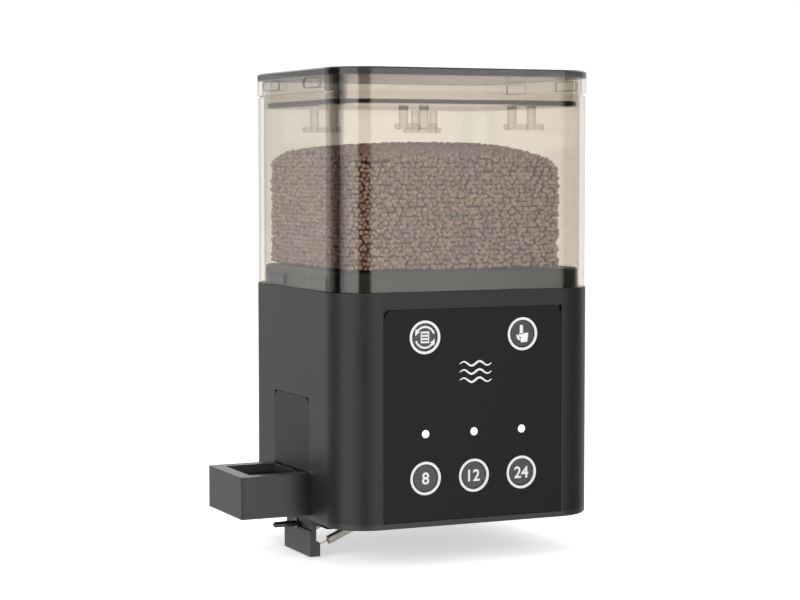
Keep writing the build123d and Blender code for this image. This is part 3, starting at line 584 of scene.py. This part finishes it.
heap_top, heap_x = 0.1250, -0.002


def heap_height(x, y):
    """The food's top: a low dome, less a power of the way to each side. It
    falls off gently to the left and late but steeply to the right."""
    left_fall = 0.0024 * np.clip(-(x - heap_x) / 0.041, 0, 1) ** 2.2
    right_fall = 0.0046 * np.clip((x - heap_x) / 0.039, 0, 1) ** 5
    return heap_top - left_fall - right_fall - 0.0042 * (np.abs(y) / 0.039) ** 2


def pellet_template(around=8, bands=5):
    """A low-faced ball: rings of points from pole to pole, with the rings
    written in one row after another."""
    fall = np.linspace(0, pi, bands)[1:-1, None]
    turn = np.linspace(0, 2 * pi, around, endpoint=False)[None]
    rings = np.stack([np.sin(fall) * np.cos(turn), np.sin(fall) * np.sin(turn),
                      np.broadcast_to(np.cos(fall), (bands - 2, around))], -1)
    points = np.concatenate([[[0, 0, 1]], rings.reshape(-1, 3), [[0, 0, -1]]])
    index = 1 + np.arange((bands - 2) * around).reshape(bands - 2, around)
    beside = np.roll(index, -1, 1)
    last = len(points) - 1
    cap = np.stack([np.zeros(around, int), index[0], beside[0]], -1)
    foot = np.stack([np.full(around, last), beside[-1], index[-1]], -1)
    belt = np.stack([index[:-1], index[1:], beside[1:], beside[:-1]], -1).reshape(-1, 4)
    halves = np.concatenate([belt[:, [0, 1, 2]], belt[:, [0, 2, 3]]])
    return points, np.concatenate([cap, foot, halves])


shuffle = np.random.default_rng(7)


def pour(name, seats):
    """One ball at each seat, each stretched a little and turned about Z."""
    points, faces = pellet_template()
    count = len(seats)
    size = pellet / 2 * shuffle.uniform(0.86, 1.08, (count, 1, 1))
    stretch = shuffle.uniform(0.90, 1.05, (count, 1, 3))
    angle = shuffle.uniform(0, 2 * pi, count)
    turn = np.zeros((count, 3, 3))
    turn[:, 0, 0], turn[:, 1, 1], turn[:, 2, 2] = np.cos(angle), np.cos(angle), 1
    turn[:, 0, 1], turn[:, 1, 0] = -np.sin(angle), np.sin(angle)
    balls = np.einsum("nij,nkj->nki", turn, points[None] * stretch * size) + seats[:, None]
    every = faces[None] + len(points) * np.arange(count)[:, None, None]
    mesh = bpy.data.meshes.new(name)
    mesh.from_pydata(balls.reshape(-1, 3), [], every.reshape(-1, 3))
    mesh.shade_smooth()
    number = mesh.attributes.new("pellet_number", "FLOAT", "POINT")
    number.data.foreach_set("value", np.repeat(shuffle.random(count), len(points)))
    piece = bpy.data.objects.new(name, mesh)
    bpy.context.collection.objects.link(piece)
    return piece


# Against the walls the pellets stand in rows, half a pellet out of step with
# # the row below. Over the heap they lie on a jittered grid, and a dark core
# # fills the middle, where none is seen; its dark brown is painted shade,
# # which shows in the gaps between the pellets.
food_middle = np.array([(food_left + food_right) / 2, (food_front + food_back) / 2])
food_half, layer = 0.04, pellet * 0.93
wall_count = int(2 * (food_right - food_left + food_back - food_front) / pellet)
ring = rounded_outline(wall_count)
rows = np.arange(food_floor + layer * 0.62, heap_top + 0.003, layer)
around = np.arange(wall_count)
wall_seats = []
for row, height in enumerate(rows):
    slid = (around + 0.5 * (row % 2) + shuffle.uniform(-0.24, 0.24, wall_count)) % wall_count
    x = np.interp(slid, np.arange(wall_count + 1), np.append(ring[:, 0], ring[0, 0]))
    y = np.interp(slid, np.arange(wall_count + 1), np.append(ring[:, 1], ring[0, 1]))
    inset = 1 - shuffle.uniform(0.0, 0.020, wall_count) - 0.5 * pellet / food_half
    z = height + shuffle.uniform(-0.26, 0.26, wall_count) * pellet
    seat = np.stack([x * inset + food_middle[0], y * inset + food_middle[1], z], -1)
    wall_seats.append(seat[z < heap_height(seat[:, 0], seat[:, 1]) - 0.2 * pellet])
wall_seats = np.concatenate(wall_seats)

top_x = np.arange(food_left, food_right, pellet * 0.98)
top_y = np.arange(food_front, food_back, pellet * 0.86)
top_x, top_y = np.meshgrid(top_x, top_y)
top_x = top_x + 0.49 * pellet * (np.arange(len(top_x)) % 2)[:, None]
top_seats = np.stack([top_x.ravel(), top_y.ravel()], -1)
top_seats = top_seats + shuffle.uniform(-0.2, 0.2, (top_x.size, 2)) * pellet
reach = np.abs(top_seats - food_middle) / ((food_right - food_left) / 2, (food_back - food_front) / 2)
top_seats = top_seats[(reach ** 9).sum(1) < 0.97 ** 9]
lifted = shuffle.uniform(-0.3, 0.45, len(top_seats)) * pellet
top_seats = np.column_stack([top_seats, heap_height(top_seats[:, 0], top_seats[:, 1]) + lifted])

core_rows = 14
core_ring = ring * (1 - 1.1 * pellet / food_half)
core_top = heap_height(*(core_ring + food_middle).T) - 0.9 * pellet
climb = np.linspace(0, 1, core_rows)[:, None]
core_wall = np.dstack([np.broadcast_to(core_ring[:, 0], (core_rows, wall_count)),
                       np.broadcast_to(core_ring[:, 1], (core_rows, wall_count)),
                       food_floor + climb * (core_top - food_floor)])
inward = np.linspace(0.96, 0.01, core_rows)[:, None]
core_roof = np.dstack([core_ring[:, 0] * inward, core_ring[:, 1] * inward,
                       heap_height(core_ring[:, 0] * inward + food_middle[0],
                                   core_ring[:, 1] * inward + food_middle[1]) - 0.7 * pellet])
under = np.dstack([core_ring[:, 0] * inward[::-1], core_ring[:, 1] * inward[::-1],
                   np.full((core_rows, wall_count), food_floor)])
core_points = np.concatenate([under, core_wall, core_roof])
core_points[..., :2] += food_middle
food_brown = Finish("food_brown", Roughness=0.6)
which = food_brown.add("ShaderNodeAttribute", {"attribute_name": "pellet_number"}, output="Fac")
body_brown = food_brown.mix((0.36, 0.245, 0.205, 1), (0.68, 0.49, 0.42, 1), which)
food_grain = food_brown.noise(1800, 3)
food_brown.set(Base_Color=food_brown.mix(body_brown, (0.20, 0.125, 0.10, 1), food_grain * 0.5))
food_brown.relief(food_grain, 0.00012, 0.7)
# The core's dark brown is painted shade for the pellets deeper in; only the grain in it is texture.
painted_shade_core_brown = Finish("painted_shade_core_brown", Roughness=0.8)
core_grain = painted_shade_core_brown.noise(700, 3)
painted_shade_core_brown.set(Base_Color=painted_shade_core_brown.mix((0.10, 0.062, 0.048, 1), (0.17, 0.11, 0.088, 1), core_grain))
painted_shade_core_brown.relief(core_grain, 0.0004, 0.8)
pours = [pour("food_layer_%d" % part, seats) for part, seats in enumerate(np.array_split(wall_seats, 3))]
pours += [pour("food_top", top_seats), grid_mesh("food_core", core_points, closed_u=True)]
for piece in pours:
    finish = painted_shade_core_brown if piece.name == "food_core" else food_brown
    piece.data.materials.append(finish.material)
    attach(piece, "hopper")


# ---------------------------------------------------------------------------
# Dose drawer, baffle, rack and rails: the drawer is satin black ABS, the
# parts that slide or mesh are milk-white acetal, which needs no oil.
# ---------------------------------------------------------------------------
drawer_black = moulded("drawer_black", (0.012, 0.012, 0.013, 1), (0.020, 0.020, 0.021, 1), 0.34, 0.5)
drawer_black.dress("drawer", "dose_baffle")
acetal_white = moulded("acetal_white", (0.78, 0.77, 0.71, 1), (0.86, 0.85, 0.80, 1), 0.38, 0.5)
acetal_white.dress("drawer_rack", "drive_pinion", "drawer_rails")


# ---------------------------------------------------------------------------
# Rim clamp: a moulded jaw slides on a steel pin, and two close-wound
# extension springs of bright wire pull it in under the case.
# ---------------------------------------------------------------------------
jaw_black = moulded("jaw_black", (0.046, 0.046, 0.047, 1), (0.070, 0.070, 0.071, 1), 0.5, 0.45)
jaw_black.dress("clamp_jaw")
pin_dark = moulded("pin_dark", (0.012, 0.012, 0.013, 1), (0.020, 0.020, 0.021, 1), 0.22, 0.7, 0.3)
pin_dark.dress("guide_pin", "guide_bush")
rubber_black = moulded("rubber_black", (0.018, 0.018, 0.018, 1), (0.030, 0.030, 0.030, 1), 0.85, 0.2, 2.0)
rubber_black.dress("jaw_pad", "rest_pad")

wire_steel = Finish("wire_steel", Metallic=1.0)
wire_scratch = wire_steel.noise(2200, 2)
wire_steel.set(Base_Color=wire_steel.mix((0.46, 0.42, 0.37, 1), (0.66, 0.63, 0.58, 1), wire_scratch),
               Roughness=0.22 + wire_scratch * 0.12)
wire_steel.relief(wire_scratch, 0.00001, 0.4)

coil_low, coil_high = np.array([-0.0387, 0, -0.0081]), np.array([-0.0286, 0, -0.00375])
jaw_hook, case_hook = np.array([-0.0427, 0, -0.0096]), np.array([-0.0235, 0, -0.0022])
coil_r, wire_r, turns, points_a_turn = 0.00128, 0.00022, 23, 26


def tube(path, radius, sides=8):
    """A round wire along a path: at each point a ring of the wire's radius
    stands square to the path's direction."""
    ahead = np.gradient(path, axis=0)
    ahead /= np.linalg.norm(ahead, axis=1)[:, None]
    helper = np.array([0.31, 0.93, 0.2])
    side = np.cross(ahead, helper)
    side /= np.linalg.norm(side, axis=1)[:, None]
    up = np.cross(ahead, side)
    turn = np.linspace(0, 2 * pi, sides, endpoint=False)
    ring = side[:, None] * np.cos(turn)[None, :, None] + up[:, None] * np.sin(turn)[None, :, None]
    return path[:, None] + radius * ring


def spring_path(y):
    """A straight lead from the jaw, close turns round the spring's axis, and
    a straight lead to the case."""
    axis = (coil_high - coil_low) / np.linalg.norm(coil_high - coil_low)
    across = np.cross(axis, (0, 1, 0))
    count = turns * points_a_turn
    turn = np.linspace(0, 2 * pi * turns, count)
    along = coil_low + (coil_high - coil_low) * np.linspace(0, 1, count)[:, None]
    swell = np.clip(np.minimum(turn, turn[-1] - turn) / (0.6 * pi), 0.0, 1)[:, None]
    coil = along + coil_r * swell * (np.cos(turn)[:, None] * across + np.sin(turn)[:, None] * (0, 1, 0))
    lead_in = jaw_hook + (coil_low - jaw_hook) * np.linspace(0, 0.97, 12)[:, None]
    lead_out = coil_high + (case_hook - coil_high) * np.linspace(0.03, 1, 12)[:, None]
    return np.concatenate([lead_in, coil, lead_out]) + (0, y, 0)


for name, y in (("front", -0.010), ("back", 0.010)):
    spring = grid_mesh("clamp_spring_" + name, tube(spring_path(y), wire_r), closed_u=True)
    spring.data.materials.append(wire_steel.material)
    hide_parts("clamp_springs")
    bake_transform(spring)


# ---------------------------------------------------------------------------
# Inside the case: green circuit boards with copper tracks under the varnish,
# black moulded switches and chips, a film-wrapped cell, a steel motor with a
# brass gearbox, and plated screws.
# ---------------------------------------------------------------------------
board_green = Finish("board_green", Roughness=0.35)
copper = board_green.add("ShaderNodeTexBrick", None,
                         {"Vector": board_green.place, "Scale": 260.0, "Mortar Size": 0.03}, 1)
board_green.set(Base_Color=board_green.mix((0.010, 0.085, 0.035, 1), (0.03, 0.16, 0.07, 1), copper))
board_green.relief(copper, 0.00003, 0.5)
board_green.dress("circuit_board", "charge_board")

chip_black = moulded("chip_black", (0.02, 0.02, 0.021, 1), (0.04, 0.04, 0.041, 1), 0.5, 0.4)
chip_black.dress("tact_switches", "controller_chip", "buzzer", "limit_switches")

cell_blue = Finish("cell_blue", Roughness=0.25)
film = cell_blue.noise(90, 2)
cell_blue.set(Base_Color=cell_blue.mix((0.03, 0.12, 0.30, 1), (0.06, 0.19, 0.42, 1), film))
cell_blue.relief(film, 0.00006, 0.4)
cell_blue.dress("battery_cell")

bright_steel = Finish("bright_steel", Metallic=1.0)
brushing = bright_steel.add("ShaderNodeMapping", None, {"Vector": bright_steel.place, "Scale": (1, 1, 14)})
brushed = bright_steel.noise(400, 3, brushing)
bright_steel.set(Base_Color=bright_steel.mix((0.48, 0.48, 0.49, 1), (0.66, 0.66, 0.67, 1), brushed),
                 Roughness=0.28 + brushed * 0.14)
bright_steel.relief(brushed, 0.00002, 0.4)
bright_steel.dress("base_screws", "board_screws", "bracket_screws")
bright_steel.dress("motor_can", "motor_shaft", "charge_port")

gear_brass = Finish("gear_brass", Metallic=1.0)
turned = gear_brass.noise(600, 3)
gear_brass.set(Base_Color=gear_brass.mix((0.55, 0.40, 0.18, 1), (0.72, 0.55, 0.28, 1), turned),
               Roughness=0.3 + turned * 0.12)
gear_brass.relief(turned, 0.00002, 0.4)
gear_brass.dress("motor_gearbox")
